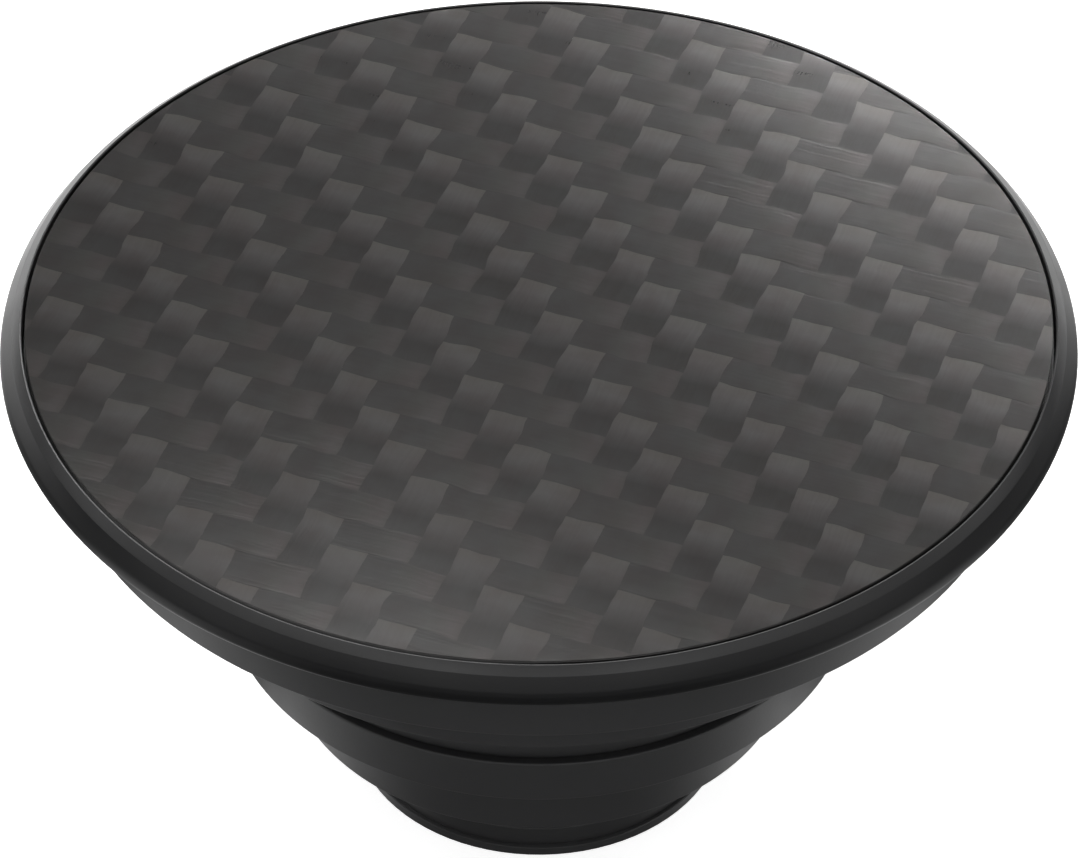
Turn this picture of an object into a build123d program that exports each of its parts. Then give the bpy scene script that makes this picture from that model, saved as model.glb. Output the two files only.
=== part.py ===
from build123d import *
import math
import os

# Collapsible phone grip: a round cap with a carbon twill inlay on a folding bellows stem.
# Millimetres. The origin is the centre of the foot's lower face and +Z runs up the stem's axis.
# The stem is modelled pulled out to its full height, as it stands in use.

# Cap: a moulded button with a recess for the inlay
cap_diameter = 39.86
cap_depth = 2.27            # from the seat of the bellows up to the cap's top face
plate_thickness = 1.10      # plate under the recess
rim_width = 0.85            # from the recess wall out to the cap's widest point
rim_land = 0.08             # flat lip beside the groove
rim_bevel_width = 0.40
rim_bevel_drop = 0.34
rim_widest_drop = 1.15      # from the top face down to the widest point
rim_edge_height = 0.05      # straight wall below the widest point
seat_margin = 0.20          # flat seat beyond the bellows' top ring

# Inlay: a carbon fibre laminate, bonded into the recess by a film of adhesive
inlay_thickness = 0.75
inlay_groove = 0.16         # hairline between the inlay and the rim
adhesive_thickness = 0.10
adhesive_inset = 0.60       # how far the film stays inside the inlay's edge

# Twill: each tow floats over two tows and under two, one tow further on in each row
tow_pitch = 1.479
tow_gap = 0.10              # resin between two neighbouring floats
crimp_height = 0.12         # crest of a float above the resin
float_end_height = 0.03     # ends of a float above the resin
float_root = 0.10           # how deep a float is rooted in the laminate
weave_border = 0.12         # plain border at the inlay's edge
weave_turn = -20.2          # direction of the cross tows, in degrees
weave_shift_across = 1.865  # tow counts at the inlay's centre
weave_shift_along = -0.026
least_float = 0.2           # smallest share of a float that is kept at the edge

# Bellows: stiff rings joined by thin folding webs, all one elastomer moulding
rim_overhang = 1.79         # the cap's widest point beyond the top ring
top_fold_reach = 3.04       # top ring to second ring, in radius
second_fold_reach = 2.98    # second ring to third
third_fold_reach = 2.28     # third ring to fourth
foot_fold_reach = 2.57      # fourth ring to the foot
top_ring_height = 2.11
ring_height = 1.85
ring_wall = 1.10
ring_bevel = 0.12           # broken outer edges of each ring
web_wall = 0.50
top_fold_rise = 1.67        # second ring up to the top ring, when pulled out
second_fold_rise = 3.73     # third ring up to the second
third_fold_rise = 1.89      # fourth ring up to the third
foot_fold_rise = 3.61       # the foot's flange up to the fourth ring
collar_height = 0.90        # lower end of the bellows, round the foot
collar_inset = 0.15         # the foot's flange beyond the collar

# Snap beads that hold the bellows to the cap and to the foot
bead_height = 0.30          # vee section, with sides at 45 degrees
snap_clearance = 0.06
boss_wall = 1.20
boss_height = 1.50
bead_drop = 0.95            # from the cap's seat down to the upper bead

# Twist-lock foot, and the key that turns it when the stem is pressed flat
flange_height = 0.42
foot_height = 2.20
collar_wall = 1.10
socket_wall = 1.35
roof_thickness = 0.90
lug_thickness = 0.60
lug_reach = 0.95
notch_width = 3.40          # way in for the ears of a locking post
key_way = 4.60              # square hole in the foot's roof
key_clearance = 0.20
key_corner = 0.60
key_end_gap = 0.15          # above the socket when the stem is pressed flat
closed_gap = 0.37           # top ring above the foot's lower face when pressed flat

# Radii, from the cap inwards
cap_radius = cap_diameter / 2
recess_radius = cap_radius - rim_width
inlay_radius = recess_radius - inlay_groove
top_ring_radius = cap_radius - rim_overhang
second_ring_radius = top_ring_radius - top_fold_reach
third_ring_radius = second_ring_radius - second_fold_reach
fourth_ring_radius = third_ring_radius - third_fold_reach
foot_radius = fourth_ring_radius - foot_fold_reach
collar_radius = foot_radius - collar_inset
foot_boss_radius = collar_radius - collar_wall - snap_clearance
socket_radius = foot_boss_radius - socket_wall
lug_radius = socket_radius - lug_reach
boss_outer = top_ring_radius - ring_wall - snap_clearance
boss_inner = boss_outer - boss_wall
seat_outer = top_ring_radius + seat_margin

# Levels, from the foot upwards
collar_top = flange_height + collar_height
fourth_ring_level = flange_height + foot_fold_rise
third_ring_level = fourth_ring_level + ring_height + third_fold_rise
second_ring_level = third_ring_level + ring_height + second_fold_rise
top_ring_level = second_ring_level + ring_height + top_fold_rise
seat_level = top_ring_level + top_ring_height
cap_top = seat_level + cap_depth
recess_level = cap_top - inlay_thickness - adhesive_thickness
plate_level = recess_level - plate_thickness
boss_end = seat_level - boss_height
upper_bead_level = seat_level - bead_drop
lower_bead_level = flange_height + collar_height / 2
groove_depth = bead_height + snap_clearance * math.sqrt(2)
roof_level = foot_height - roof_thickness
travel = top_ring_level - closed_gap
key_end = roof_level + key_end_gap + travel


def section(outline):
    """Lay a flat outline of (radius, height) points in the plane of the axis."""
    return Plane.XZ * outline


def turned(outline):
    """Turn a flat outline of (radius, height) points about the axis into a solid."""
    return revolve(section(outline), axis=Axis.Z, revolution_arc=360)


def ring_outline(radius, level, height):
    """Section of one stiff ring, from its outer radius and its lower edge."""
    inner = radius - ring_wall
    top = level + height
    corners = Polyline(
        (inner, level),
        (radius - ring_bevel, level),
        (radius, level + ring_bevel),
        (radius, top - ring_bevel),
        (radius - ring_bevel, top),
        (inner, top),
        close=True,
    )
    return make_face(corners)


def vee_outline(radius, level, height):
    """Square standing on its corner: the half inside the wall at this radius is a snap bead."""
    corners = Polyline(
        (radius - height, level),
        (radius, level - height),
        (radius + height, level),
        (radius, level + height),
        close=True,
    )
    return make_face(corners)


def web_outline(upper, lower):
    """Section of a folding web between two points on its middle line."""
    run = Vector(*upper) - Vector(*lower)
    middle = (Vector(*upper) + Vector(*lower)) / 2
    slope = math.degrees(math.atan2(run.Y, run.X))
    return Pos(middle.X, middle.Y) * Rot(0, 0, slope) * Rectangle(run.length, web_wall)


def web_between(upper_radius, upper_level, lower_radius, lower_top):
    """Web from the lower edge of one ring to the upper edge of the next, at their inner sides."""
    seat = ring_wall - web_wall / 2
    upper = (upper_radius - seat, upper_level + web_wall / 2)
    lower = (lower_radius - seat, lower_top - web_wall / 2)
    return web_outline(upper, lower)


def make_cap():
    """Cap with the inlay's recess, a bevelled rim, the snap boss and the drive key below."""
    widest_level = cap_top - rim_widest_drop
    edge_level = widest_level - rim_edge_height
    land_outer = recess_radius + rim_land
    bevel_outer = land_outer + rim_bevel_width
    bevel_level = cap_top - rim_bevel_drop
    under = Polyline(
        (0, plate_level),
        (boss_inner, plate_level),
        (boss_inner, boss_end),
        (boss_outer, boss_end),
        (boss_outer, seat_level),
        (seat_outer, seat_level),
        (cap_radius, edge_level),
        (cap_radius, widest_level),
    )
    shoulder = TangentArc((cap_radius, widest_level), (bevel_outer, bevel_level), tangent=(0, 1))
    over = Polyline(
        (bevel_outer, bevel_level),
        (land_outer, cap_top),
        (recess_radius, cap_top),
        (recess_radius, recess_level),
        (0, recess_level),
        (0, plate_level),
    )
    outline = make_face([under, shoulder, over])
    outline -= vee_outline(top_ring_radius - ring_wall, upper_bead_level, groove_depth)
    key_side = key_way - 2 * key_clearance
    key = extrude(RectangleRounded(key_side, key_side, key_corner - key_clearance), plate_level - key_end)
    return turned(outline) + Pos(0, 0, key_end) * key


def make_bellows():
    """One-piece bellows: rings, folding webs, the collar at the foot and a bead at each end."""
    collar_inner = collar_radius - collar_wall
    top_bead = vee_outline(top_ring_radius - ring_wall, upper_bead_level, bead_height)
    foot_bead = vee_outline(collar_inner, lower_bead_level, bead_height)
    collar = Pos((collar_inner + collar_radius) / 2, flange_height + collar_height / 2)
    outline = ring_outline(top_ring_radius, top_ring_level, top_ring_height) + top_bead
    outline += ring_outline(second_ring_radius, second_ring_level, ring_height)
    outline += ring_outline(third_ring_radius, third_ring_level, ring_height)
    outline += ring_outline(fourth_ring_radius, fourth_ring_level, ring_height)
    outline += collar * Rectangle(collar_wall, collar_height) + foot_bead
    outline += web_between(top_ring_radius, top_ring_level, second_ring_radius, second_ring_level + ring_height)
    outline += web_between(second_ring_radius, second_ring_level, third_ring_radius, third_ring_level + ring_height)
    outline += web_between(third_ring_radius, third_ring_level, fourth_ring_radius, fourth_ring_level + ring_height)
    outline += web_between(fourth_ring_radius, fourth_ring_level, collar_radius, collar_top)
    return turned(outline)


def make_foot():
    """Foot with a flange, a boss for the bellows, two locking lugs and the key way."""
    flange = Pos(0, 0, flange_height / 2) * Cylinder(foot_radius, flange_height)
    boss = Pos(0, 0, foot_height / 2) * Cylinder(foot_boss_radius, foot_height)
    groove = turned(vee_outline(collar_radius - collar_wall, lower_bead_level, groove_depth))
    cavity_height = roof_level - lug_thickness
    cavity = Pos(0, 0, lug_thickness + cavity_height / 2) * Cylinder(socket_radius, cavity_height)
    mouth = Pos(0, 0, lug_thickness / 2) * Cylinder(lug_radius, lug_thickness)
    notch = Pos(0, 0, lug_thickness / 2) * (
        Box(2 * socket_radius, notch_width, lug_thickness) & Cylinder(socket_radius, lug_thickness)
    )
    way = Pos(0, 0, roof_level) * extrude(RectangleRounded(key_way, key_way, key_corner), roof_thickness)
    return flange + boss - groove - cavity - mouth - notch - way


def float_solid():
    """One float of a tow along X: a low ridge with its crest at mid length."""
    half_length = tow_pitch - tow_gap / 2
    ridge = Polyline(
        (-half_length, -float_root),
        (half_length, -float_root),
        (half_length, float_end_height),
        (0, crimp_height),
        (-half_length, float_end_height),
        close=True,
    )
    return extrude(section(make_face(ridge)), (tow_pitch - tow_gap) / 2, both=True)


def float_places():
    """Yield the place of each float: those of the long tows are turned a quarter."""
    reach = math.ceil(inlay_radius / tow_pitch) + 3
    turn = Rot(0, 0, weave_turn)
    for across in range(-reach, reach):
        for along in range(-reach, reach):
            step = (across + along) % 4
            if step == 0:
                middle = (across + 0.5, along + 1.0)
                quarter = 90
            elif step == 2:
                middle = (across + 1.0, along + 0.5)
                quarter = 0
            else:
                continue
            offset_across = (middle[0] - weave_shift_across) * tow_pitch
            offset_along = (middle[1] - weave_shift_along) * tow_pitch
            yield turn * Pos(offset_across, offset_along) * Rot(0, 0, quarter)


def make_inlay():
    """Carbon laminate: a disc whose upper face carries the floats of a two by two twill."""
    resin_level = cap_top - crimp_height
    disc_height = resin_level - recess_level - adhesive_thickness
    disc = Pos(0, 0, resin_level - disc_height / 2) * Cylinder(inlay_radius, disc_height)
    weave_radius = inlay_radius - weave_border
    rim = Pos(0, 0, resin_level) * Cylinder(weave_radius, 2 * (crimp_height + float_root))
    pattern = float_solid()
    half_diagonal = math.hypot(2 * tow_pitch, tow_pitch) / 2
    floats = []
    for place in float_places():
        distance = math.hypot(place.position.X, place.position.Y)
        if distance > weave_radius + half_diagonal:
            continue
        ridge = Pos(0, 0, resin_level) * place * pattern
        if distance > weave_radius - half_diagonal:
            ridge = ridge & rim
            if ridge is None or ridge.volume < least_float * pattern.volume:
                continue
        floats.append(ridge)
    return disc + floats


def make_adhesive():
    """Film of adhesive under the inlay."""
    middle = recess_level + adhesive_thickness / 2
    return Pos(0, 0, middle) * Cylinder(inlay_radius - adhesive_inset, adhesive_thickness)


parts = {
    "cap": make_cap(),
    "carbon_inlay": make_inlay(),
    "inlay_adhesive": make_adhesive(),
    "bellows": make_bellows(),
    "twist_foot": make_foot(),
}

os.makedirs("parts", exist_ok=True)
for node, solid in parts.items():
    export_step(solid, f"parts/{node}.step")
    print(node, round(solid.volume, 2), "mm3")
print("collapse travel", round(travel, 3), "mm, cap top", round(cap_top, 3), "mm")
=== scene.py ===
"""Looks of a collapsible phone grip: a carbon twill cap on a folding bellows stem.

Sizes are in millimetres, as in the part's source, and every mesh is built in place in metres.
"""

import logging
import math
from dataclasses import dataclass, field
from enum import Enum

import bmesh
import bpy
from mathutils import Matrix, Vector


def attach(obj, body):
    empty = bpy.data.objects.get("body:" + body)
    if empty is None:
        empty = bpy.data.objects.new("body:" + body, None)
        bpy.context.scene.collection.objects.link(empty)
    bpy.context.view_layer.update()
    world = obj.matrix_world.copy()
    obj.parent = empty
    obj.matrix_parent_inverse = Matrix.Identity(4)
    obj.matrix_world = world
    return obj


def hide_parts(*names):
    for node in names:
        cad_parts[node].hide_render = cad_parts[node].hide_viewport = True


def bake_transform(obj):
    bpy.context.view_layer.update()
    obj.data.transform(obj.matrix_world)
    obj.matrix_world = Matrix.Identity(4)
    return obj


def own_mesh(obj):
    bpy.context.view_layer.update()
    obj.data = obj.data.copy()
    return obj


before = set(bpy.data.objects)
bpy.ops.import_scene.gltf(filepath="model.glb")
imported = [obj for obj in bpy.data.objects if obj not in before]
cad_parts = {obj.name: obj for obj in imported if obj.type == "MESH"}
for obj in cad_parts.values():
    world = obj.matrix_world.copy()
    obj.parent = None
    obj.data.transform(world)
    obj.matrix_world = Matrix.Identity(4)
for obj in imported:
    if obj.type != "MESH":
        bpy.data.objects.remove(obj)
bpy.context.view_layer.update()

MM = 0.001
GRIP_TOP = 21.25
log = logging.getLogger("phone_grip")

Tree = bpy.types.NodeTree
Node = bpy.types.Node
Socket = bpy.types.NodeSocket
Outputs = bpy.types.NodeOutputs
Piece = bpy.types.Object
Mesh = bpy.types.Mesh
Material = bpy.types.Material

MATH = "ShaderNodeMath"
VECTOR_MATH = "ShaderNodeVectorMath"
COMBINE = "ShaderNodeCombineXYZ"
SEPARATE = "ShaderNodeSeparateXYZ"
MAP_RANGE = "ShaderNodeMapRange"
MIX = "ShaderNodeMix"  # colours go in at sockets 6 and 7 and come out at socket 2
NOISE = "ShaderNodeTexNoise"
COMPARE = "FunctionNodeCompare"
POSITION = "GeometryNodeInputPosition"
SET_POSITION = "GeometryNodeSetPosition"
NAMED_ATTRIBUTE = "GeometryNodeInputNamedAttribute"
STORE_ATTRIBUTE = "GeometryNodeStoreNamedAttribute"
DELETE = "GeometryNodeDeleteGeometry"
REALIZE = "GeometryNodeRealizeInstances"

# Most values of a noise lie in this span.
NOISE_SPAN = {"From Min": 0.3, "From Max": 0.7}


class Body(Enum):
    """Rigid bodies of the frame that pieces move with."""

    FOOT = "foot"
    TOP = "top"


class Slot(Enum):
    """Material slots of the record."""

    CAP = "cap"
    CARBON = "carbon"
    FILM = "film"
    BELLOWS = "bellows"
    FOOT = "foot"


def linear(colour: str) -> tuple[float, float, float, float]:
    """Turn an sRGB hex colour into linear light.

    Args:
        colour: Hex colour such as "#1b1b1c".

    Returns:
        Linear red, green and blue, with an alpha of one.
    """
    shares = [int(colour[start:start + 2], 16) / 255 for start in (1, 3, 5)]
    red, green, blue = [s / 12.92 if s <= 0.04045 else ((s + 0.055) / 1.055) ** 2.4 for s in shares]
    return red, green, blue, 1.0


def feed(tree: Tree, node: Node, inputs: dict | list) -> None:
    """Set or link a node's inputs.

    Args:
        tree: Tree that holds the node.
        node: Node to feed.
        inputs: Values, or the sockets that feed them, by socket name or number, or in order.
    """
    for key, value in inputs.items() if isinstance(inputs, dict) else enumerate(inputs):
        if isinstance(value, Socket):
            tree.links.new(value, node.inputs[key])
        else:
            node.inputs[key].default_value = value


def add_node(
    tree: Tree, kind: str, inputs: dict | list | None = None, operation: str = "", **settings: object
) -> Outputs:
    """Add a node to a tree with its settings, values and links.

    Args:
        tree: Tree that gets the node.
        kind: The node's type name.
        inputs: What feed takes.
        operation: What a node that calculates does.
        settings: Other properties of the node itself.

    Returns:
        The new node's outputs.
    """
    node = tree.nodes.new(kind)
    if operation:
        settings["operation"] = operation
    for name, value in settings.items():
        setattr(node, name, value)
    feed(tree, node, inputs or {})
    return node.outputs


def put(name: str, data: bpy.types.ID) -> Piece:
    """Put a mesh, a lamp or a camera into the scene as an object at the origin.

    Args:
        name: Name of the object.
        data: What it shows.

    Returns:
        The object.
    """
    placed = bpy.data.objects.new(name, data)
    bpy.context.scene.collection.objects.link(placed)
    return placed


def close_cuts(mesh: Mesh) -> None:
    """Close the edge loops that a trim left open.

    Args:
        mesh: Mesh that gets a face in each open loop.
    """
    shape = bmesh.new()
    shape.from_mesh(mesh)
    open_edges = [edge for edge in shape.edges if edge.is_boundary]
    if open_edges:
        bmesh.ops.holes_fill(shape, edges=open_edges, sides=0)
        shape.to_mesh(mesh)
    shape.free()


def settle(name: str, starter: Piece, sharp_above: float = 32.0) -> Piece:
    """Turn an object with modifiers into a plain mesh object and remove the starter.

    Args:
        name: Name of the piece.
        starter: Object with its modifiers in place.
        sharp_above: Edges that turn by more degrees than this stay crisp.

    Returns:
        A linked object that carries the plain mesh.
    """
    graph = bpy.context.evaluated_depsgraph_get()
    mesh = bpy.data.meshes.new_from_object(starter.evaluated_get(graph), depsgraph=graph)
    bpy.data.objects.remove(starter)
    mesh.name = name
    empty = [number for number, material in enumerate(mesh.materials) if material is None]
    for number in reversed(empty):
        mesh.materials.pop(index=number)
    close_cuts(mesh)
    mesh.shade_smooth()
    mesh.set_sharp_from_angle(angle=math.radians(sharp_above))
    return put(name, mesh)


def join(name: str, *pieces: Piece) -> Piece:
    """Join pieces that are one moulding into one object.

    Args:
        name: Name of the joined piece.
        pieces: Objects to join; the first keeps its place in the scene.

    Returns:
        The joined object.
    """
    first = pieces[0]
    with bpy.context.temp_override(active_object=first, selected_editable_objects=list(pieces)):
        bpy.ops.object.join()
    first.name = name
    first.data.name = name
    return first


class NodeTool:
    """A Geometry Nodes tree with named inputs, which turns a seed mesh into a piece."""

    def __init__(self, name: str, sizes: dict[str, float]) -> None:
        """Build the tree once; every piece of its kind runs it.

        Args:
            name: Name of the tree.
            sizes: Name of each size and its value; whole numbers become integer sockets.
        """
        self.tree = bpy.data.node_groups.new(name, "GeometryNodeTree")
        self.sizes = sizes
        self.identifiers = self.add_inputs()
        self.given = add_node(self.tree, "NodeGroupInput")
        self.close(self.wire())

    def add_inputs(self) -> dict[str, str]:
        """Give the tree its geometry, sizes and material as named inputs.

        Returns:
            Each input's name, to the identifier of its socket.
        """
        kinds = {"Geometry": "NodeSocketGeometry"}
        for name, value in self.sizes.items():
            kinds[name] = "NodeSocketInt" if isinstance(value, int) else "NodeSocketFloat"
        kinds["Material"] = "NodeSocketMaterial"
        sockets = self.tree.interface
        found = {}
        for name, kind in kinds.items():
            found[name] = sockets.new_socket(name, in_out="INPUT", socket_type=kind).identifier
        sockets.new_socket("Geometry", in_out="OUTPUT", socket_type="NodeSocketGeometry")
        return found

    def wire(self) -> Socket:
        """Wire the tree's nodes.

        Returns:
            Socket with the finished shape.
        """
        raise NotImplementedError

    def close(self, geometry: Socket) -> None:
        """End the tree with smooth shading, real faces and its material.

        Args:
            geometry: Socket with the finished shape.
        """
        tree = self.tree
        smooth = add_node(tree, "GeometryNodeSetShadeSmooth", [geometry])[0]
        finish = {"Geometry": add_node(tree, REALIZE, [smooth])[0], "Material": self.given["Material"]}
        add_node(tree, "NodeGroupOutput", [add_node(tree, "GeometryNodeSetMaterial", finish)[0]])

    def grow(self, name: str, seed: Mesh, material: Material) -> Piece:
        """Run the tree on a seed mesh and keep the result as a plain mesh.

        Args:
            name: Name of the piece.
            seed: Mesh that the tree starts from.
            material: Finish of the piece.

        Returns:
            A linked object that carries the plain mesh.
        """
        starter = put(name + "_seed", seed)
        modifier = starter.modifiers.new(self.tree.name, "NODES")
        modifier.node_group = self.tree
        for key, value in (self.sizes | {"Material": material}).items():
            modifier[self.identifiers[key]] = value
        return settle(name, starter)


@dataclass(frozen=True)
class Corner:
    """A corner of a turned outline: its radius, its level and how far it is rounded."""

    radius: float
    level: float
    rounding: float = 0.0


class Lathe(NodeTool):
    """Turns an outline with rounded corners about the stem's axis, by Geometry Nodes."""

    segments = 192
    corner_steps = 4
    guide_radius = 10.0
    merge_gap = 0.0005

    def __init__(self) -> None:
        """Build the tree with the lathe's own sizes."""
        sizes = {
            "Segments": self.segments,
            "Corner Steps": self.corner_steps,
            "Guide Radius": self.guide_radius * MM,
        }
        super().__init__("turned outline", sizes)

    def wire(self) -> Socket:
        """Round the outline's corners and sweep it round a guide circle.

        Returns:
            Socket with the turned solid.
        """
        tree, given = self.tree, self.given
        outline = add_node(tree, "GeometryNodeMeshToCurve", {"Mesh": given["Geometry"]})[0]
        rounding = add_node(tree, NAMED_ATTRIBUTE, {"Name": "rounding"}, data_type="FLOAT")[0]
        corners = {
            "Curve": outline,
            "Radius": rounding,
            "Limit Radius": True,
            "Count": given["Corner Steps"],
        }
        rounded = add_node(tree, "GeometryNodeFilletCurve", corners, mode="POLY")[0]
        guide = given["Guide Radius"]
        place = add_node(tree, SEPARATE, [add_node(tree, POSITION)[0]])
        outward = add_node(tree, MATH, [place["X"], guide], "SUBTRACT")[0]
        downward = add_node(tree, MATH, [place["Z"], -1.0], "MULTIPLY")[0]
        section = add_node(tree, COMBINE, {"X": outward, "Y": downward})[0]
        laid = add_node(tree, SET_POSITION, {"Geometry": rounded, "Position": section})[0]
        circle = add_node(
            tree,
            "GeometryNodeCurvePrimitiveCircle",
            {"Resolution": given["Segments"], "Radius": guide},
            mode="RADIUS",
        )[0]
        upright = add_node(tree, "GeometryNodeSetCurveNormal", {"Curve": circle}, mode="Z_UP")[0]
        swept = add_node(tree, "GeometryNodeCurveToMesh", {"Curve": upright, "Profile Curve": laid})[0]
        closed = add_node(
            tree, "GeometryNodeMergeByDistance", {"Geometry": swept, "Distance": self.merge_gap * MM}
        )[0]
        return add_node(tree, "GeometryNodeFlipFaces", [closed])[0]

    def turn(self, name: str, outline: list[Corner], material: Material) -> Piece:
        """Turn an outline into a solid of revolution.

        Args:
            name: Name of the piece.
            outline: Corners in order, round the section anticlockwise with the radius to the right.
                The outline is closed, unless both its ends are on the axis.
            material: Finish of the piece.

        Returns:
            The turned piece.
        """
        seed = bpy.data.meshes.new(name + "_outline")
        points = [(corner.radius * MM, 0.0, corner.level * MM) for corner in outline]
        edges = [(k, k + 1) for k in range(len(points) - 1)]
        if outline[0].radius > 0:
            edges.append((len(points) - 1, 0))
        seed.from_pydata(points, edges, [])
        rounding = seed.attributes.new("rounding", "FLOAT", "POINT")
        rounding.data.foreach_set("value", [corner.rounding * MM for corner in outline])
        return self.grow(name, seed, material)


class Finish:
    """What all finishes share: a Principled material that reads object coordinates."""

    name: str

    def begin(self) -> tuple[Tree, Node, Socket]:
        """Start the material.

        Returns:
            Its tree, its Principled shader and the object coordinates in millimetres.
        """
        made = bpy.data.materials.new(self.name)
        made.use_nodes = True
        tree = made.node_tree
        place = add_node(tree, "ShaderNodeTexCoord")["Object"]
        scaled = add_node(tree, VECTOR_MATH, {0: place, "Scale": 1 / MM}, "SCALE")[0]
        return tree, tree.nodes["Principled BSDF"], scaled

    def material(self) -> Material:
        """Make the material, or return the one that was made before."""
        found = bpy.data.materials.get(self.name)
        if found is None:
            self.wire()
            found = bpy.data.materials[self.name]
        return found

    def wire(self) -> None:
        """Wire the material's nodes."""
        raise NotImplementedError


@dataclass(frozen=True)
class MouldedPlastic(Finish):
    """A moulded or cast plastic: an even colour, a fine grain and a little uneven gloss.

    The grain is a tenth of a millimetre or more, which is as fine as still shows in the render.
    """

    name: str
    colour: str
    cloud_colour: str
    roughness: float
    roughness_spread: float
    specular: float
    grain_mm: float
    grain_depth_mm: float
    cloud_mm: float
    grain_detail: float = 2.0
    cloud_detail: float = 4.0
    ior: float = 1.5

    def wire(self) -> None:
        """Wire colour clouds, uneven gloss and the mould's grain."""
        tree, shader, place = self.begin()
        cloud = add_node(
            tree, NOISE, {"Vector": place, "Scale": 1 / self.cloud_mm, "Detail": self.cloud_detail}
        )[0]
        tints = {6: linear(self.colour), 7: linear(self.cloud_colour)}
        colour = add_node(tree, MIX, {0: cloud} | tints, data_type="RGBA")[2]
        limits = {
            "To Min": self.roughness - self.roughness_spread,
            "To Max": self.roughness + self.roughness_spread,
        }
        gloss = add_node(tree, MAP_RANGE, {"Value": cloud} | NOISE_SPAN | limits)[0]
        grain = add_node(
            tree, NOISE, {"Vector": place, "Scale": 1 / self.grain_mm, "Detail": self.grain_detail}
        )[0]
        relief = {"Height": grain, "Distance": self.grain_depth_mm * MM, "Strength": 1.0}
        surface = {
            "Base Color": colour,
            "Roughness": gloss,
            "Normal": add_node(tree, "ShaderNodeBump", relief)[0],
            "Specular IOR Level": self.specular,
            "IOR": self.ior,
        }
        feed(tree, shader, surface)


@dataclass(frozen=True)
class CarbonTwill(Finish):
    """Carbon tows in clear epoxy under one smooth gloss: along each float the colour runs from dark to
    a painted sheen, the shine that a crowned tow catches from the lamps.

    The filaments are far too fine to show, so their streaks are drawn a tenth of a millimetre wide.
    """

    name: str = "woven carbon fibre in clear epoxy"
    # Painted sheen along a long float: dark towards its start and bright towards its end, as a crowned
    # tow catches the lamps.
    long_painted_sheen_stops: tuple[tuple[float, str], ...] = (
        (0.0, "#302f2e"),
        (0.34, "#2d2c2b"),
        (0.56, "#393736"),
        (0.76, "#434140"),
        (1.0, "#454340"),
    )
    # Painted sheen along a cross float: brightest near its end, as a crowned tow catches the lamps.
    cross_painted_sheen_stops: tuple[tuple[float, str], ...] = (
        (0.0, "#323130"),
        (0.35, "#323130"),
        (0.62, "#353432"),
        (0.90, "#3b3837"),
        (1.0, "#393735"),
    )
    float_length_mm: float = 3.0
    tow_width_mm: float = 1.5
    strand_spread: float = 40.0
    streak_mm: float = 0.10
    streak_length_mm: float = 6.0
    streak_detail: float = 3.0
    streak_share: float = 0.04
    streak_depth_mm: float = 0.01
    streak_relief: float = 0.35
    cloud_mm: float = 1.1
    cloud_detail: float = 4.0
    cloud_span: tuple[float, float] = (0.35, 0.65)
    cloud_tints: tuple[str, str] = ("#eeebec", "#fafdff")
    metallic: float = 0.44
    roughness: float = 0.17
    specular: float = 0.0
    coat_roughness: float = 0.14
    coat_weight: float = 0.33
    coat_ior: float = 1.5

    def ramp(self, tree: Tree, factor: Socket, tones: tuple[tuple[float, str], ...]) -> Socket:
        """Add a ramp of painted sheen along a float.

        Args:
            tree: Tree that gets the ramp.
            factor: Socket that drives it.
            tones: Place and hex colour of each stop.

        Returns:
            The ramp's colour socket.
        """
        colour = add_node(tree, "ShaderNodeValToRGB", [factor])[0]
        stops = colour.node.color_ramp.elements
        while len(stops) < len(tones):
            stops.new(0.5)
        for stop, (place, tone) in zip(stops, tones):
            stop.position = place
            stop.color = linear(tone)
        return colour

    def wire(self) -> None:
        """Wire the painted sheen along each float, the streaks, the resin's clouds and the clear coat.
        """
        tree, shader, place = self.begin()
        along, across, cross_tow, tone = [
            add_node(tree, "ShaderNodeAttribute", attribute_name=name)["Fac"]
            for name in ("along", "across", "cross_tow", "tone")
        ]
        # The ramps paint into the colour the sheen that each crowned float catches from the lamps.
        long_float_painted_sheen, cross_float_painted_sheen = [
            self.ramp(tree, along, tones) for tones in (self.long_painted_sheen_stops, self.cross_painted_sheen_stops)
        ]
        # sheen is this painted sheen, taken from the long or the cross ramp by the kind of float.
        tones = {0: cross_tow, 6: long_float_painted_sheen, 7: cross_float_painted_sheen}
        sheen = add_node(tree, MIX, tones, data_type="RGBA")[2]
        strand = add_node(tree, COMBINE, [along, across, tone])[0]
        counts = (
            self.float_length_mm / self.streak_length_mm,
            self.tow_width_mm / self.streak_mm,
            self.strand_spread,
        )
        stretched = add_node(tree, VECTOR_MATH, [strand, counts], "MULTIPLY")[0]
        noise = {"Vector": stretched, "Scale": 1.0, "Detail": self.streak_detail}
        streak = add_node(tree, NOISE, noise)[0]
        limits = {"To Min": 1.0 - self.streak_share, "To Max": 1.0 + self.streak_share}
        brightness = add_node(tree, MAP_RANGE, {"Value": streak} | NOISE_SPAN | limits)[0]
        streaked = add_node(tree, VECTOR_MATH, {0: sheen, "Scale": brightness}, "SCALE")[0]
        cloud = add_node(
            tree, NOISE, {"Vector": place, "Scale": 1 / self.cloud_mm, "Detail": self.cloud_detail}
        )[0]
        span = dict(zip(("From Min", "From Max"), self.cloud_span))
        patches = add_node(tree, MAP_RANGE, {"Value": cloud} | span)[0]
        dull, clear = [linear(tint) for tint in self.cloud_tints]
        tint = add_node(tree, MIX, {0: patches, 6: dull, 7: clear}, data_type="RGBA")[2]
        depth = self.streak_depth_mm * MM
        relief = {"Height": streak, "Distance": depth, "Strength": self.streak_relief}
        surface = {
            "Base Color": add_node(tree, VECTOR_MATH, [streaked, tint], "MULTIPLY")[0],
            "Normal": add_node(tree, "ShaderNodeBump", relief)[0],
            "Coat Normal": add_node(tree, COMBINE, {"Z": 1.0})[0],
            "Metallic": self.metallic,
            "Roughness": self.roughness,
            "Specular IOR Level": self.specular,
            "Coat Weight": self.coat_weight,
            "Coat Roughness": self.coat_roughness,
            "Coat IOR": self.coat_ior,
        }
        feed(tree, shader, surface)


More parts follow.
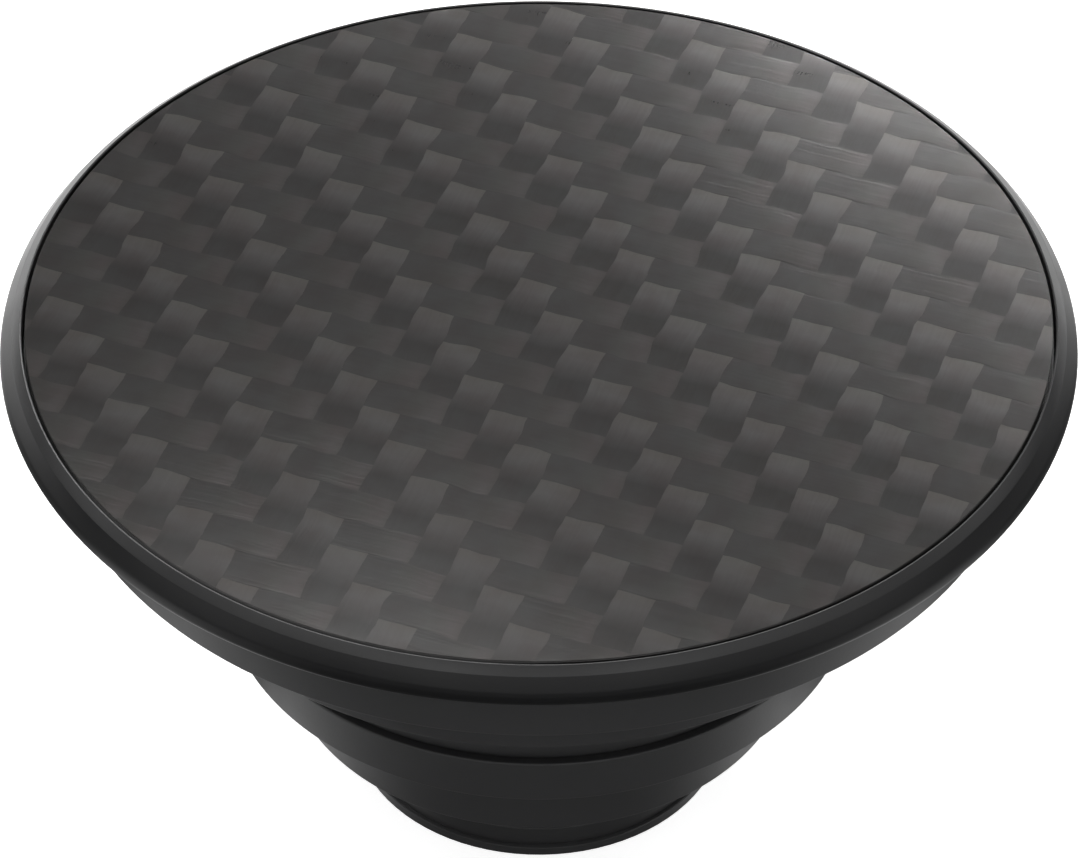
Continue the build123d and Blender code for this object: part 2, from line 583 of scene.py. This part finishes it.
POLYCARBONATE = MouldedPlastic(
    name="moulded polycarbonate, satin black",
    colour="#0f0f10",
    cloud_colour="#131314",
    roughness=0.32,
    roughness_spread=0.03,
    specular=0.40,
    grain_mm=0.10,
    grain_depth_mm=0.002,
    cloud_mm=2.5,
)
ELASTOMER = MouldedPlastic(
    name="moulded thermoplastic elastomer, black",
    colour="#2e2e2f",
    cloud_colour="#333334",
    roughness=0.44,
    roughness_spread=0.04,
    specular=0.80,
    grain_mm=0.12,
    grain_depth_mm=0.003,
    cloud_mm=3.0,
)
MATT_POLYCARBONATE = MouldedPlastic(
    name="moulded polycarbonate, fine matt",
    colour="#39393a",
    cloud_colour="#404041",
    roughness=0.40,
    roughness_spread=0.04,
    specular=0.50,
    grain_mm=0.12,
    grain_depth_mm=0.002,
    cloud_mm=2.0,
)
ADHESIVE = MouldedPlastic(
    name="cast acrylic adhesive film",
    colour="#b9b6ad",
    cloud_colour="#c8c5bc",
    roughness=0.30,
    roughness_spread=0.08,
    specular=0.45,
    grain_mm=0.30,
    grain_depth_mm=0.004,
    cloud_mm=1.2,
)
TWILL = CarbonTwill()


@dataclass
class Cap:
    """The round button: a recess for the inlay, a bevelled rim, the snap boss and the drive key."""

    radius: float = 19.93
    top: float = GRIP_TOP
    rim_width: float = 0.85
    rim_land: float = 0.07
    lip_drop: float = 0.024
    lip_rounding: float = 0.01
    bevel_width: float = 0.33
    bevel_drop: float = 0.25
    bevel_rounding: float = 0.04
    shoulder_drop: float = 0.85
    shoulder_rounding: float = 0.60
    edge_drop: float = 1.20
    edge_rounding: float = 0.27
    seat: float = 18.98
    seat_radius: float = 18.34
    seat_rounding: float = 0.08
    recess_drop: float = 0.85
    recess_edge: float = 0.02
    recess_corner: float = 0.05
    plate: float = 1.10
    plate_corner: float = 0.25
    boss_outer: float = 16.98
    boss_inner: float = 15.78
    boss_height: float = 1.50
    boss_rounding: float = 0.15
    boss_corner: float = 0.10
    groove_drop: float = 0.95
    groove_depth: float = 0.325
    groove_edge: float = 0.05
    groove_corner: float = 0.08
    key_side: float = 4.20
    key_end: float = 17.95
    key_rounding: float = 0.40
    key_steps: int = 6
    key_end_rounding: float = 0.10
    key_end_steps: int = 3

    def outline(self) -> list[Corner]:
        """List the corners of the cap's section."""
        recess_radius = self.radius - self.rim_width
        land_outer = recess_radius + self.rim_land
        recess = self.top - self.recess_drop
        plate_level = recess - self.plate
        boss_end = self.seat - self.boss_height
        groove = self.seat - self.groove_drop
        return [
            Corner(0.0, plate_level),
            Corner(self.boss_inner, plate_level, self.plate_corner),
            Corner(self.boss_inner, boss_end, self.boss_rounding),
            Corner(self.boss_outer, boss_end, self.boss_rounding),
            Corner(self.boss_outer, groove - self.groove_depth, self.groove_edge),
            Corner(self.boss_outer - self.groove_depth, groove, self.groove_corner),
            Corner(self.boss_outer, groove + self.groove_depth, self.groove_edge),
            Corner(self.boss_outer, self.seat, self.boss_corner),
            Corner(self.seat_radius, self.seat, self.seat_rounding),
            Corner(self.radius, self.top - self.edge_drop, self.edge_rounding),
            Corner(self.radius, self.top - self.shoulder_drop, self.shoulder_rounding),
            Corner(land_outer + self.bevel_width, self.top - self.bevel_drop, self.bevel_rounding),
            Corner(land_outer, self.top, self.lip_rounding),
            Corner(recess_radius, self.top - self.lip_drop, self.recess_edge),
            Corner(recess_radius, recess, self.recess_corner),
            Corner(0.0, recess),
        ]

    def key(self, material: Material) -> Piece:
        """Make the square drive key under the plate.

        Args:
            material: Finish of the key.

        Returns:
            The key, with rounded edges.
        """
        root = self.top - self.recess_drop - self.plate / 2
        middle = (root + self.key_end) / 2 * MM
        shape = bmesh.new()
        bmesh.ops.create_cube(shape, size=1.0)
        for vertex in shape.verts:
            vertex.co.x *= self.key_side * MM
            vertex.co.y *= self.key_side * MM
            vertex.co.z = (self.key_end if vertex.co.z < 0 else root) * MM
        upright = [e for e in shape.edges if (e.verts[0].co.z < middle) != (e.verts[1].co.z < middle)]
        arc = {"profile": 0.5, "affect": "EDGES"}
        rounding = self.key_rounding * MM
        bmesh.ops.bevel(shape, geom=upright, offset=rounding, segments=self.key_steps, **arc)
        lower = [e for e in shape.edges if all(v.co.z < middle for v in e.verts)]
        rounding = self.key_end_rounding * MM
        bmesh.ops.bevel(shape, geom=lower, offset=rounding, segments=self.key_end_steps, **arc)
        mesh = bpy.data.meshes.new("drive_key")
        shape.to_mesh(mesh)
        shape.free()
        mesh.materials.append(material)
        return settle("drive_key", put("drive_key_seed", mesh))

    def build(self, lathe: Lathe) -> list[Piece]:
        """Build the cap and let it ride on the top body.

        Args:
            lathe: Turns the cap's section.

        Returns:
            The cap.
        """
        material = POLYCARBONATE.material()
        shell = lathe.turn("cap_shell", self.outline(), material)
        piece = join("cap_moulding", shell, self.key(material))
        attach(piece, Body.TOP.value)
        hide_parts("cap")
        return [piece]


class Weave(NodeTool):
    """Lays the floats of a two by two twill and trims them to a disc, by Geometry Nodes."""

    float_steps = {"Vertices X": 11, "Vertices Y": 7, "Vertices Z": 2}
    wander_detail = 1.0

    def wire(self) -> Socket:
        """Lay a float at each place, let the cloth wander and trim it.

        Returns:
            Socket with the woven face.
        """
        tree, given = self.tree, self.given
        cross_tow = add_node(tree, NAMED_ATTRIBUTE, {"Name": "cross_tow"}, data_type="FLOAT")[0]
        quarter = math.pi / 2
        turned = add_node(tree, MATH, [cross_tow, -quarter, quarter], "MULTIPLY_ADD")[0]
        heading = add_node(tree, MATH, [turned, given["Turn"]], "ADD")[0]
        upright = {"Axis": (0.0, 0.0, 1.0), "Angle": heading}
        rotation = add_node(tree, "FunctionNodeAxisAngleToRotation", upright)[0]
        laid = add_node(
            tree,
            "GeometryNodeInstanceOnPoints",
            {"Points": self.places(), "Instance": self.pad(), "Rotation": rotation},
        )[0]
        real = add_node(tree, REALIZE, [laid])[0]
        return self.trim(self.wander(real))

    def places(self) -> Socket:
        """Wire the points where floats lie: one long and one cross float in every four crossings.

        Returns:
            Socket with the points, which carry the attributes cross_tow and tone.
        """
        tree, given = self.tree, self.given
        rows = given["Rows"]
        points = add_node(tree, "GeometryNodeMeshGrid", {"Vertices X": rows, "Vertices Y": rows})[0]
        index = add_node(tree, "GeometryNodeInputIndex")[0]
        row_share = add_node(tree, MATH, [index, rows], "DIVIDE")[0]
        row = add_node(tree, MATH, [row_share], "FLOOR")[0]
        column = add_node(tree, MATH, [index, rows], "MODULO")[0]
        crossing = add_node(tree, MATH, [row, column], "ADD")[0]
        step = add_node(tree, MATH, [crossing, 4.0], "MODULO")[0]
        cross_tow = add_node(tree, MATH, [step, 0.5], "MULTIPLY")[0]
        odd = add_node(tree, MATH, [step, 2.0], "MODULO")[0]
        half = add_node(tree, MATH, [rows, 0.5], "MULTIPLY")[0]
        # From its corner a float covers two crossings one way and one crossing the other way.
        flat = []
        for count, start, slide, shift in (
            (row, 0.5, 0.5, given["Shift Across"]),
            (column, 1.0, -0.5, given["Shift Along"]),
        ):
            centred = add_node(tree, MATH, [count, half], "SUBTRACT")[0]
            middle = add_node(tree, MATH, [cross_tow, slide, start], "MULTIPLY_ADD")[0]
            summed = add_node(tree, MATH, [centred, middle], "ADD")[0]
            shifted = add_node(tree, MATH, [summed, shift], "SUBTRACT")[0]
            flat.append(add_node(tree, MATH, [shifted, given["Pitch"]], "MULTIPLY")[0])
        spot = add_node(tree, COMBINE, {"X": flat[0], "Y": flat[1], "Z": given["Level"]})[0]
        turn = {"Vector": spot, "Angle": given["Turn"]}
        turned = add_node(tree, "ShaderNodeVectorRotate", turn, rotation_type="Z_AXIS")[0]
        draw = {"Seed": given["Seed"], "ID": index}
        tone = add_node(tree, "FunctionNodeRandomValue", draw, data_type="FLOAT")[1]
        for name, value in (("cross_tow", cross_tow), ("tone", tone)):
            stored = {"Geometry": points, "Name": name, "Value": value}
            points = add_node(tree, STORE_ATTRIBUTE, stored, data_type="FLOAT", domain="POINT")[0]
        moved = add_node(tree, SET_POSITION, {"Geometry": points, "Position": turned})[0]
        return add_node(tree, DELETE, {"Geometry": moved, "Selection": odd}, domain="POINT")[0]

    def pad(self) -> Socket:
        """Wire one float: a low pad along X, crowned along and across, with soft ends.

        Returns:
            Socket with the pad, which carries the attributes along and across.
        """
        tree, given = self.tree, self.given
        width = given["Pitch"]
        length = add_node(tree, MATH, [width, 2.0], "MULTIPLY")[0]
        size = add_node(tree, COMBINE, {"X": length, "Y": width, "Z": given["Root"]})[0]
        block = add_node(tree, "GeometryNodeMeshCube", {"Size": size} | self.float_steps)[0]
        place = add_node(tree, SEPARATE, [add_node(tree, POSITION)[0]])
        along = add_node(tree, MATH, [place["X"], length], "DIVIDE")[0]
        across = add_node(tree, MATH, [place["Y"], width], "DIVIDE")[0]
        from_start = add_node(tree, MATH, [along, 0.5], "ADD")[0]
        for name, value in (("along", from_start), ("across", across)):
            stored = {"Geometry": block, "Name": name, "Value": value}
            block = add_node(tree, STORE_ATTRIBUTE, stored, data_type="FLOAT", domain="POINT")[0]
        angle = add_node(tree, MATH, [along, math.pi], "MULTIPLY")[0]
        arch = add_node(tree, MATH, [angle], "COSINE")[0]
        ends = given["End Height"]
        rise = add_node(tree, MATH, [given["Crest"], ends], "SUBTRACT")[0]
        crown = add_node(tree, MATH, [arch, rise, ends], "MULTIPLY_ADD")[0]
        square = add_node(tree, MATH, [across, across], "MULTIPLY")[0]
        quartic = add_node(tree, MATH, [square, square], "MULTIPLY")[0]
        # The place across is half at each side, so sixteen times its fourth power is one there.
        fall = add_node(tree, MATH, [quartic, -16.0], "MULTIPLY")[0]
        height = add_node(tree, MATH, [fall, given["Side Drop"], crown], "MULTIPLY_ADD")[0]
        upper = add_node(tree, COMPARE, [place["Z"], 0.0], "GREATER_THAN", data_type="FLOAT")[0]
        top = add_node(tree, COMBINE, {"X": place["X"], "Y": place["Y"], "Z": height})[0]
        return add_node(tree, SET_POSITION, {"Geometry": block, "Selection": upper, "Position": top})[0]

    def wander(self, geometry: Socket) -> Socket:
        """Wire the skew of the cloth and the small sideways wander that tows have in any real one.

        Args:
            geometry: Socket with the laid floats.

        Returns:
            Socket with the floats moved a little in their plane, neighbours together.
        """
        tree, given = self.tree, self.given
        waves = {"Scale": given["Wander Scale"], "Detail": self.wander_detail}
        noise = add_node(tree, NOISE, waves)["Color"]
        # The noise lies between nought and one, its share of the wander between minus one and one.
        centred = add_node(tree, VECTOR_MATH, [noise, (0.5, 0.5, 0.5)], "SUBTRACT")[0]
        level = add_node(tree, VECTOR_MATH, [centred, (2.0, 2.0, 0.0)], "MULTIPLY")[0]
        wandered = add_node(tree, VECTOR_MATH, {0: level, "Scale": given["Wander"]}, "SCALE")[0]
        place = add_node(tree, POSITION)[0]
        turn = 2 * self.sizes["Turn"]
        sine, cosine = math.sin(turn), math.cos(turn)
        leans = [
            add_node(tree, VECTOR_MATH, [place, row], "DOT_PRODUCT")["Value"]
            for row in ((sine, -cosine, 0.0), (-cosine, -sine, 0.0))
        ]
        lean = add_node(tree, COMBINE, {"X": leans[0], "Y": leans[1]})[0]
        skewed = add_node(tree, VECTOR_MATH, {0: lean, "Scale": given["Skew"]}, "SCALE")[0]
        offset = add_node(tree, VECTOR_MATH, [wandered, skewed], "ADD")[0]
        return add_node(tree, SET_POSITION, {"Geometry": geometry, "Offset": offset})[0]

    def trim(self, geometry: Socket) -> Socket:
        """Wire the trim: faces beyond the disc go, and points past or close to its edge move onto it.

        Args:
            geometry: Socket with the laid floats.

        Returns:
            Socket with the trimmed floats.
        """
        tree, radius = self.tree, self.given["Radius"]
        place = add_node(tree, POSITION)[0]
        flat = add_node(tree, VECTOR_MATH, [place, (1.0, 1.0, 0.0)], "MULTIPLY")[0]
        reach = add_node(tree, VECTOR_MATH, [flat], "LENGTH")["Value"]
        limit = add_node(tree, MATH, [radius, self.given["Edge Reach"]], "SUBTRACT")[0]
        beyond = add_node(tree, COMPARE, [reach, limit], "GREATER_THAN", data_type="FLOAT")[0]
        # Read on points, a face is chosen only when all its corners are beyond.
        corners = {"data_type": "BOOLEAN", "domain": "POINT"}
        wholly = add_node(tree, "GeometryNodeFieldOnDomain", [beyond], **corners)[0]
        cut = add_node(tree, DELETE, {"Geometry": geometry, "Selection": wholly}, domain="FACE")[0]
        share = add_node(tree, MATH, [radius, reach], "DIVIDE")[0]
        drawn = add_node(tree, VECTOR_MATH, {0: flat, "Scale": share}, "SCALE")[0]
        height = add_node(tree, VECTOR_MATH, [place, (0.0, 0.0, 1.0)], "MULTIPLY")[0]
        edge = add_node(tree, VECTOR_MATH, [drawn, height], "ADD")[0]
        return add_node(tree, SET_POSITION, {"Geometry": cut, "Selection": beyond, "Position": edge})[0]


@dataclass
class Inlay:
    """The carbon laminate: a resin disc that carries the floats of a two by two twill."""

    radius: float = 18.97
    top: float = GRIP_TOP
    thickness: float = 0.75
    lower_rounding: float = 0.05
    upper_rounding: float = 0.04
    pitch: float = 1.4734
    crest: float = 0.012
    end_height: float = 0.006
    side_drop: float = 0.0015
    root: float = 0.06
    border: float = 0.03
    edge_reach: float = 0.06
    turn: float = -20.2
    skew: float = 0.0193
    shift_across: float = 1.858
    shift_along: float = -0.005
    rows: int = 40
    wander: float = 0.17
    wander_length: float = 1.3
    tone_seed: int = 7

    def disc(self, lathe: Lathe) -> Piece:
        """Turn the resin disc under the weave.

        Args:
            lathe: Turns the disc's section.

        Returns:
            The disc.
        """
        level = self.top - self.crest
        base = self.top - self.thickness
        outline = [
            Corner(0.0, base),
            Corner(self.radius, base, self.lower_rounding),
            Corner(self.radius, level, self.upper_rounding),
            Corner(0.0, level),
        ]
        return lathe.turn("resin_disc", outline, TWILL.material())

    def weave(self) -> Piece:
        """Lay the floats of the twill and trim them to the disc.

        Returns:
            The woven face.
        """
        sizes = {
            "Rows": self.rows,
            "Pitch": self.pitch * MM,
            "Crest": self.crest * MM,
            "End Height": self.end_height * MM,
            "Side Drop": self.side_drop * MM,
            "Root": self.root * MM,
            "Turn": math.radians(self.turn),
            "Shift Across": self.shift_across,
            "Shift Along": self.shift_along,
            "Level": (self.top - self.crest) * MM,
            "Radius": (self.radius - self.border) * MM,
            "Edge Reach": self.edge_reach * MM,
            "Skew": self.skew,
            "Wander": self.wander * MM,
            "Wander Scale": 1 / (self.wander_length * MM),
            "Seed": self.tone_seed,
        }
        seed = bpy.data.meshes.new("weave_seed")
        return Weave("two by two twill", sizes).grow("woven_face", seed, TWILL.material())

    def build(self, lathe: Lathe) -> list[Piece]:
        """Build the laminate and its adhesive film, and let the laminate ride on the top body.

        Args:
            lathe: Turns the resin disc.

        Returns:
            The laminate and the film.
        """
        piece = join("carbon_laminate", self.disc(lathe), self.weave())
        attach(piece, Body.TOP.value)
        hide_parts("carbon_inlay")
        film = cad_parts["inlay_adhesive"]
        film.data.materials.clear()
        film.data.materials.append(ADHESIVE.material())
        return [piece, film]


@dataclass
class Ring:
    """A stiff ring of the bellows, by its outer radius, lower edge and height."""

    name: str
    radius: float
    level: float
    height: float
    wall: float = 1.10
    rounding: float = 0.10
    inner_rounding: float = 0.10

    @property
    def top(self) -> float:
        """Level of the ring's upper edge."""
        return self.level + self.height

    def outline(self) -> list[Corner]:
        """List the corners of the ring's section."""
        inner = self.radius - self.wall
        return [
            Corner(inner, self.level, self.inner_rounding),
            Corner(self.radius, self.level, self.rounding),
            Corner(self.radius, self.top, self.rounding),
            Corner(inner, self.top, self.inner_rounding),
        ]


@dataclass
class Bellows:
    """The stem: stiff rings that nest in each other and thin webs that fold flat between them."""

    foot_level: float = 0.42
    collar_radius: float = 7.12
    collar_height: float = 0.90
    collar_rounding: float = 0.08
    web_wall: float = 0.50
    nested_level: float = 0.50
    travel: float = 16.5
    blend_span: float = 10_000.0
    rings: list[Ring] = field(
        default_factory=lambda: [
            Ring("bellows_top_ring", 18.14, 16.87, 2.11),
            Ring("bellows_second_ring", 15.10, 13.35, 1.85),
            Ring("bellows_third_ring", 12.12, 7.77, 1.85),
            Ring("bellows_fourth_ring", 9.84, 4.03, 1.85),
        ]
    )
    web_keeps: tuple[float, ...] = (0.025, 0.10, 0.15, 0.20)

    def web_outline(self, upper: Ring, lower: Ring) -> list[Corner]:
        """List the corners of the web between two rings, seated at their inner sides.

        Args:
            upper: Ring above the web.
            lower: Ring below it.

        Returns:
            The corners of a band of even thickness.
        """
        half = self.web_wall / 2
        start = Vector((lower.radius - lower.wall + half, lower.top - half))
        end = Vector((upper.radius - upper.wall + half, upper.level + half))
        run = (end - start).normalized()
        side = Vector((run.y, -run.x)) * half
        return [Corner(*corner) for corner in (start + side, end + side, end - side, start - side)]

    def nest(self, piece: Piece) -> None:
        """Bake the ring's place into its mesh, where it stays.

        Args:
            piece: The ring's object.
        """
        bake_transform(piece)

    def build(self, lathe: Lathe) -> list[Piece]:
        """Build the rings, webs and collar.

        Args:
            lathe: Turns each section.

        Returns:
            The pieces of the stem.
        """
        material = ELASTOMER.material()
        collar = Ring("bellows_collar", self.collar_radius, self.foot_level, self.collar_height)
        collar.rounding = self.collar_rounding
        stack = [*self.rings, collar]
        pieces = []
        for ring in stack:
            piece = lathe.turn(ring.name, ring.outline(), material)
            if ring is self.rings[0]:
                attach(piece, Body.TOP.value)
            elif ring is collar:
                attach(piece, Body.FOOT.value)
            else:
                self.nest(piece)
            pieces.append(piece)
        for upper, lower, keep in zip(stack, stack[1:], self.web_keeps):
            name = upper.name.replace("_ring", "_web")
            web = lathe.turn(name, self.web_outline(upper, lower), material)
            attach(web, Body.FOOT.value)
            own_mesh(web)
            pieces.append(web)
        for piece in pieces:
            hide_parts("bellows")
        return pieces


@dataclass
class Foot:
    """The twist-lock foot: the solid from the frame with its edges broken and its walls smooth."""

    edge_bevel: float = 0.05
    bevel_steps: int = 1
    bevel_above: float = 40.0
    flat_below: float = 0.5
    merge_gap: float = 0.001

    def build(self) -> list[Piece]:
        """Build the foot from a merged copy of its solid.

        Returns:
            The foot.
        """
        shape = bmesh.new()
        shape.from_mesh(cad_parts["twist_foot"].data)
        bmesh.ops.remove_doubles(shape, verts=shape.verts, dist=self.merge_gap * MM)
        flat = math.radians(self.flat_below)
        bmesh.ops.dissolve_limit(shape, angle_limit=flat, verts=shape.verts, edges=shape.edges)
        mesh = bpy.data.meshes.new("foot_seed")
        shape.to_mesh(mesh)
        shape.free()
        mesh.materials.clear()
        mesh.materials.append(MATT_POLYCARBONATE.material())
        starter = put("foot_seed", mesh)
        bevel = starter.modifiers.new("broken edges", "BEVEL")
        bevel.width = self.edge_bevel * MM
        bevel.segments = self.bevel_steps
        bevel.limit_method = "ANGLE"
        bevel.angle_limit = math.radians(self.bevel_above)
        bevel.use_clamp_overlap = True
        piece = settle("locking_foot", starter)
        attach(piece, Body.FOOT.value)
        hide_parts("twist_foot")
        return [piece]


@dataclass(frozen=True)
class Softbox:
    """A rectangular studio lamp, by its direction from the grip, distance, size and power.

    Angles are in degrees, lengths in metres. A paired lamp has a twin on the other side.
    """

    name: str
    azimuth: float
    elevation: float
    distance: float
    width: float
    height: float
    watts: float
    paired: bool = False

    def build(self, aim: Vector) -> None:
        """Hang the lamp, and its twin if it has one, so that it faces the grip.

        Args:
            aim: Point that the lamp faces.
        """
        data = bpy.data.lights.new(self.name, "AREA")
        data.shape = "RECTANGLE"
        data.size = self.width
        data.size_y = self.height
        data.energy = self.watts
        elevation = math.radians(self.elevation)
        level, rise = math.cos(elevation), math.sin(elevation)
        for side in (1, -1) if self.paired else (1,):
            azimuth = math.radians(self.azimuth * side)
            away = Vector((math.sin(azimuth) * level, math.cos(azimuth) * level, rise))
            lamp = put(self.name, data)
            lamp.location = aim + away * self.distance
            lamp.rotation_euler = away.to_track_quat("Z", "Y").to_euler()
            lamp.visible_camera = False


@dataclass(frozen=True)
class Ease:
    """A soft step: where it starts and ends, its values, and its turn to the right in degrees."""

    start: float
    end: float
    before: float
    after: float
    turn: float = 0.0

    def limits(self) -> dict[str, float]:
        """Give the step as the inputs of a Map Range node."""
        names = ("From Min", "From Max", "To Min", "To Max")
        return dict(zip(names, (self.start, self.end, self.before, self.after)))


@dataclass
class Studio:
    """A white sweep, softboxes and the camera at the photograph's viewing angle.

    The floor's reach and the nearest and farthest places that the camera shows are in metres.
    """

    top: float = GRIP_TOP
    camera_back: float = 156.62
    camera_height: float = 129.57
    camera_pitch: float = 40.846
    lens: float = 183.33
    sensor: float = 36.0
    frame_shift: float = 0.001
    nearest: float = 0.01
    farthest: float = 20.0
    floor_reach: float = 1.5
    floor_gap: float = 0.02
    floor_colour: str = "#e6e6e6"
    floor_glow: float = 0.80
    floor_flag: Ease = Ease(-0.10, 0.90, 1.0, 0.06)
    near_sweep: Ease = Ease(0.0, 0.35, 0.15, 1.75)
    back_sweep: Ease = Ease(-1.0, -0.30, 1.9, 0.0, 5.0)
    room_sweep: Ease = Ease(-1.0, -0.30, 4.8, 0.42, 5.0)
    room_colour: str = "#ffffff"
    room_fade: Ease = Ease(0.02, 0.28, 1.0, 0.065)
    softboxes: tuple[Softbox, ...] = (
        Softbox("overhead softbox", -31.0, 69.5, 0.60, 0.50, 0.50, 2.30),
        Softbox("far right softbox", 9.5, 31.0, 0.80, 0.13, 0.10, 1.30),
        Softbox("far softbox", 0.5, 29.5, 0.80, 0.13, 0.10, 0.19),
        Softbox("far left softbox", -8.0, 29.5, 0.80, 0.22, 0.10, 0.14),
        Softbox("right softbox", 14.0, 36.0, 0.80, 0.10, 0.13, 0.175),
        Softbox("near softbox", 2.0, 50.5, 0.80, 0.13, 0.10, 0.15),
        Softbox("near left softbox", -12.0, 49.0, 0.80, 0.13, 0.10, 0.205),
        Softbox("front softbox", 180.0, 60.0, 0.60, 0.40, 0.20, 0.35),
        Softbox("low front softbox", 180.0, 36.0, 0.60, 0.40, 0.30, 0.25),
        Softbox("front strip", 129.0, 58.0, 0.60, 0.35, 0.16, 0.30, paired=True),
        Softbox("side strip", 94.0, 46.0, 0.60, 0.35, 0.16, 0.17, paired=True),
        Softbox("rear strip", 70.0, 33.0, 0.60, 0.30, 0.14, 0.20, paired=True),
        Softbox("low front strip", 142.0, 32.0, 0.60, 0.35, 0.14, 0.15, paired=True),
        Softbox("low side strip", 108.0, 24.0, 0.60, 0.35, 0.14, 0.15, paired=True),
    )

    def eased(self, tree: Tree, place: Socket, *steps: Ease) -> list[Socket]:
        """Add soft steps that follow how far to the front something lies.

        Args:
            tree: Tree that gets the nodes.
            place: A point or a direction, seen from the grip.
            steps: The soft steps, from minus one at the back to one at the front.

        Returns:
            Socket with the value of each step.
        """
        level = add_node(tree, VECTOR_MATH, [place, (1.0, 1.0, 0.0)], "MULTIPLY")[0]
        heading = add_node(tree, VECTOR_MATH, [level], "NORMALIZE")[0]
        values = []
        for step in steps:
            turn = math.radians(step.turn)
            front = (math.sin(turn), -math.cos(turn), 0.0)
            share = add_node(tree, VECTOR_MATH, [heading, front], "DOT_PRODUCT")["Value"]
            limits = {"Value": share} | step.limits()
            values.append(add_node(tree, MAP_RANGE, limits, interpolation_type="SMOOTHSTEP")[0])
        return values

    def floor(self) -> None:
        """Lay the paper floor: it glows white to the camera and still takes the grip's shadow."""
        material = bpy.data.materials.new("white paper sweep")
        material.use_nodes = True
        tree = material.node_tree
        tree.nodes.clear()
        path = add_node(tree, "ShaderNodeLightPath")
        paper = add_node(tree, "ShaderNodeBsdfDiffuse", {"Color": linear(self.floor_colour)})[0]
        strength = add_node(tree, MATH, [path["Is Camera Ray"], self.floor_glow], "MULTIPLY")[0]
        glow = add_node(tree, "ShaderNodeEmission", {"Strength": strength})[0]
        lit = add_node(tree, "ShaderNodeAddShader", [paper, glow])[0]
        place = add_node(tree, "ShaderNodeTexCoord")["Object"]
        kept, near, back = self.eased(tree, place, self.floor_flag, self.near_sweep, self.back_sweep)
        sweep = add_node(tree, MATH, [near, back], "MAXIMUM")[0]
        seen = add_node(tree, MATH, [sweep, kept], "MULTIPLY")[0]
        mirrored = add_node(tree, "ShaderNodeEmission", {"Strength": seen})[0]
        rays = [path["Is Glossy Ray"], path["Is Transmission Ray"]]
        shiny = add_node(tree, MATH, rays, "MAXIMUM")[0]
        either = add_node(tree, "ShaderNodeMixShader", [shiny, lit, mirrored])[0]
        add_node(tree, "ShaderNodeOutputMaterial", {"Surface": either})
        reach, level = self.floor_reach, -self.floor_gap * MM
        mesh = bpy.data.meshes.new("floor")
        corners = [(x * reach, y * reach, level) for x, y in ((-1, -1), (1, -1), (1, 1), (-1, 1))]
        mesh.from_pydata(corners, [], [(0, 1, 2, 3)])
        mesh.materials.append(material)
        put("floor", mesh)

    def world(self) -> None:
        """Surround the grip with a sweep that is white at the horizon and dim above."""
        world = bpy.data.worlds.new("studio")
        bpy.context.scene.world = world
        world.use_nodes = True
        tree = world.node_tree
        tree.nodes.clear()
        aim = add_node(tree, "ShaderNodeTexCoord")["Generated"]
        rise = add_node(tree, SEPARATE, [aim])["Z"]
        limits = {"Value": rise} | self.room_fade.limits()
        fade = add_node(tree, MAP_RANGE, limits, interpolation_type="SMOOTHSTEP")[0]
        room = self.eased(tree, aim, self.room_sweep)[0]
        faded = add_node(tree, MATH, [fade, room], "MULTIPLY")[0]
        camera = add_node(tree, "ShaderNodeLightPath")["Is Camera Ray"]
        strength = add_node(tree, MATH, [faded, camera], "MAXIMUM")[0]
        sky = {"Color": linear(self.room_colour), "Strength": strength}
        shown = add_node(tree, "ShaderNodeBackground", sky)[0]
        add_node(tree, "ShaderNodeOutputWorld", {"Surface": shown})

    def camera(self) -> None:
        """Set the camera at the photograph's viewing angle."""
        data = bpy.data.cameras.new("camera")
        data.sensor_width = self.sensor
        data.lens = self.lens
        data.shift_x = self.frame_shift
        data.clip_start = self.nearest
        data.clip_end = self.farthest
        camera = put("camera", data)
        camera.location = (0.0, -self.camera_back * MM, (self.camera_height + self.top) * MM)
        camera.rotation_euler = (math.radians(90.0 - self.camera_pitch), 0.0, 0.0)
        bpy.context.scene.camera = camera

    def build(self) -> None:
        """Build the floor, the surroundings, the lamps and the camera."""
        bpy.context.scene.view_settings.view_transform = "Standard"
        self.floor()
        self.world()
        for softbox in self.softboxes:
            softbox.build(Vector((0.0, 0.0, self.top * MM)))
        self.camera()


def main() -> None:
    """Build the grip from the foot up and the studio round it."""
    logging.basicConfig(level=logging.INFO, format="%(name)s: %(message)s")
    lathe = Lathe()
    pieces = Foot().build() + Bellows().build(lathe) + Cap().build(lathe) + Inlay().build(lathe)
    for piece in pieces:
        mesh = piece.data
        log.info("%s: %d vertices, %d faces", piece.name, len(mesh.vertices), len(mesh.polygons))
    Studio().build()


if __name__ == "__main__":
    main()
